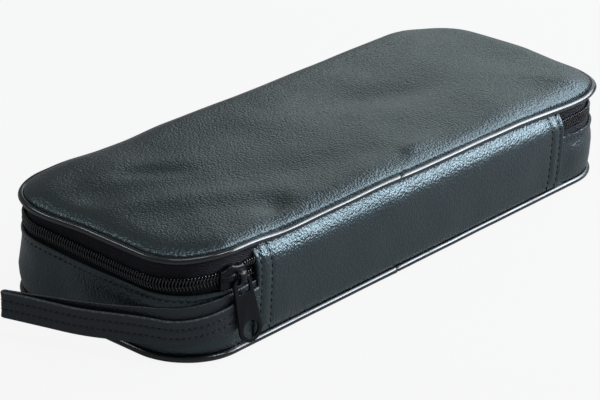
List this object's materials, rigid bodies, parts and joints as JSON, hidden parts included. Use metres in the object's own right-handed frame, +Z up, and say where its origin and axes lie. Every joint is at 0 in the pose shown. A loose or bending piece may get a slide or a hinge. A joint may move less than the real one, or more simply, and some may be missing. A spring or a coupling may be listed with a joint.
{
  "type": "zipped instrument case",
  "caption": "Soft black leatherette case with piped edges, a zip round three sides, a fabric-hinged padded lid and a folded wrist strap.",
  "frame": {"origin": "middle of the case's underside", "axes": "+X along the length towards the zip's far end, -Y the spine side that the lid turns on, +Z up"},
  "size_m": [0.3433, 0.1267, 0.053],
  "materials": {
    "leatherette": "pebbled black leatherette, satin",
    "piping": "smooth glossy black vinyl piping",
    "strap": "pebbled black leatherette, doubled and top-stitched",
    "lining": "plain woven dark lining",
    "board": "grey-brown card",
    "foam": "thin soft foam",
    "zip_tape": "woven black tape",
    "zip_coil": "black nylon coil",
    "enamel": "satin black enamelled die casting"
  },
  "bodies": {
    "base": {"base_panel": "leatherette", "base_piping": "piping", "base_foam": "foam", "base_board": "board", "base_lining": "lining", "wall_band": "leatherette", "wall_board": "board", "wall_lining": "lining", "lower_zip_tape": "zip_tape", "lower_zip_coil": "zip_coil", "upper_tape_tails": "zip_tape", "upper_coil_tails": "zip_coil", "spine_panel": "leatherette", "near_hem": "leatherette", "far_hem": "leatherette", "spine_board": "board", "spine_lining": "lining", "strap_root": "strap"},
    "lid": {"lid_panel": "leatherette", "lid_foam": "foam", "lid_board": "board", "lid_lining": "lining", "lid_piping": "piping", "upper_zip_tape": "zip_tape", "upper_zip_coil": "zip_coil"},
    "slider": {"zip_slider": "enamel"},
    "tab": {"pull_tab": "enamel"},
    "strap": {"strap_loop": "strap"}
  },
  "joints": [
    {"name": "lid_hinge", "type": "hinge", "parent": "base", "child": "lid", "pos_m": [0, -0.0595, 0.0473], "axis": [1, 0, 0], "range_deg": [0, 170]},
    {"name": "slider_run", "type": "hinge", "parent": "base", "child": "slider", "pos_m": [-0.1275, -0.031, 0.0375], "axis": [0, 0, -1], "range_deg": [0, 60]},
    {"name": "tab_swing", "type": "hinge", "parent": "slider", "child": "tab", "pos_m": [-0.1275, -0.0625, 0.03646], "axis": [-0.9681, 0, -0.2504], "range_deg": [0, 95]},
    {"name": "strap_fold", "type": "hinge", "parent": "base", "child": "strap", "pos_m": [-0.15495, -0.04322, 0.01575], "axis": [0, 0, 1], "range_deg": [0, 85]}
  ]
}
